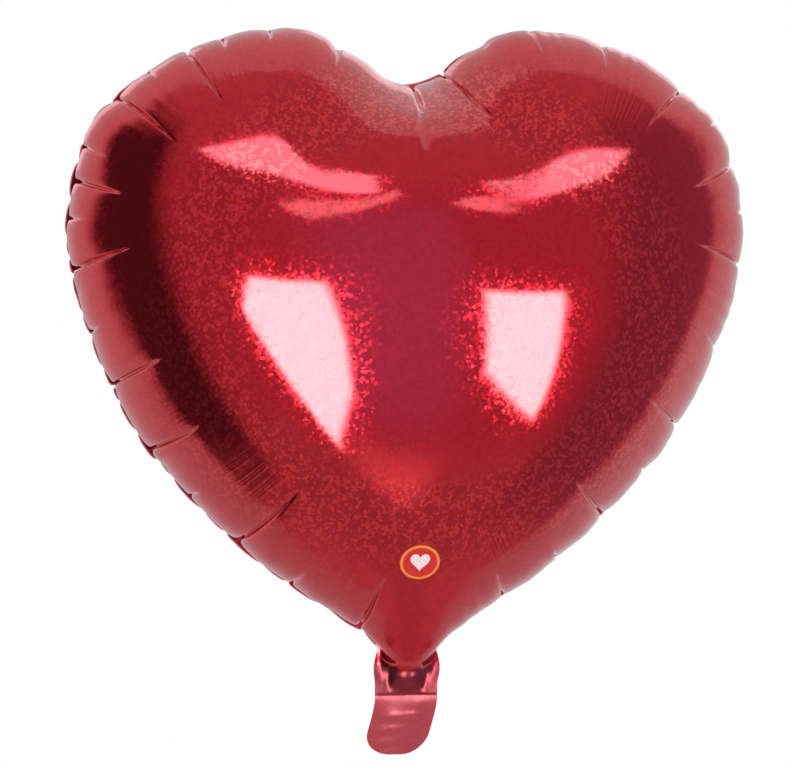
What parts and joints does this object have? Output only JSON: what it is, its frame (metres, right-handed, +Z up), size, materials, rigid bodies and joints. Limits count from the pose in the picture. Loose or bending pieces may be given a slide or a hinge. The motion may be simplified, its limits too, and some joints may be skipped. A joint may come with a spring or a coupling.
{
  "type": "heart-shaped foil balloon",
  "caption": "Inflated heart-shaped metallic foil party balloon with a welded rim, a self-sealing film valve and a folding filling tail below the neck.",
  "frame": {"origin": "middle of the neck, on the line where a ribbon is tied, at the top of the filling tail", "axes": "+Z up through the cleft, front face towards -Y, +X to the right seen from the front"},
  "size_m": [0.375, 0.1828, 0.4045],
  "materials": {
    "red_foil": "mirror-like red metallised film with a fine holographic glitter print",
    "valve_film": "thin translucent polyethylene film",
    "release_ink": "matte heat-resistant ink",
    "badge_print": "glossy printed oval with a plain border"
  },
  "bodies": {
    "envelope": {"front_foil_panel": "red_foil", "rear_foil_panel": "red_foil", "valve_front_film": "valve_film", "valve_rear_root": "valve_film", "valve_release_coating": "release_ink", "printed_badge": "badge_print"},
    "tail": {"tail_front_film": "red_foil", "tail_rear_film": "red_foil", "inlet_front_film": "valve_film", "inlet_rear_film": "valve_film"},
    "valve_flap": {"valve_rear_flap": "valve_film"}
  },
  "joints": [
    {"name": "tail_fold", "type": "hinge", "parent": "envelope", "child": "tail", "pos_m": [0, 0, -0.002], "axis": [1, 0, 0], "range_deg": [-90, 90]},
    {"name": "valve_opening", "type": "hinge", "parent": "envelope", "child": "valve_flap", "pos_m": [0, 0.00035, 0.032], "axis": [-1, 0, 0], "range_deg": [0, 8], "stiffness_Nm_per_rad": 0.0005}
  ]
}
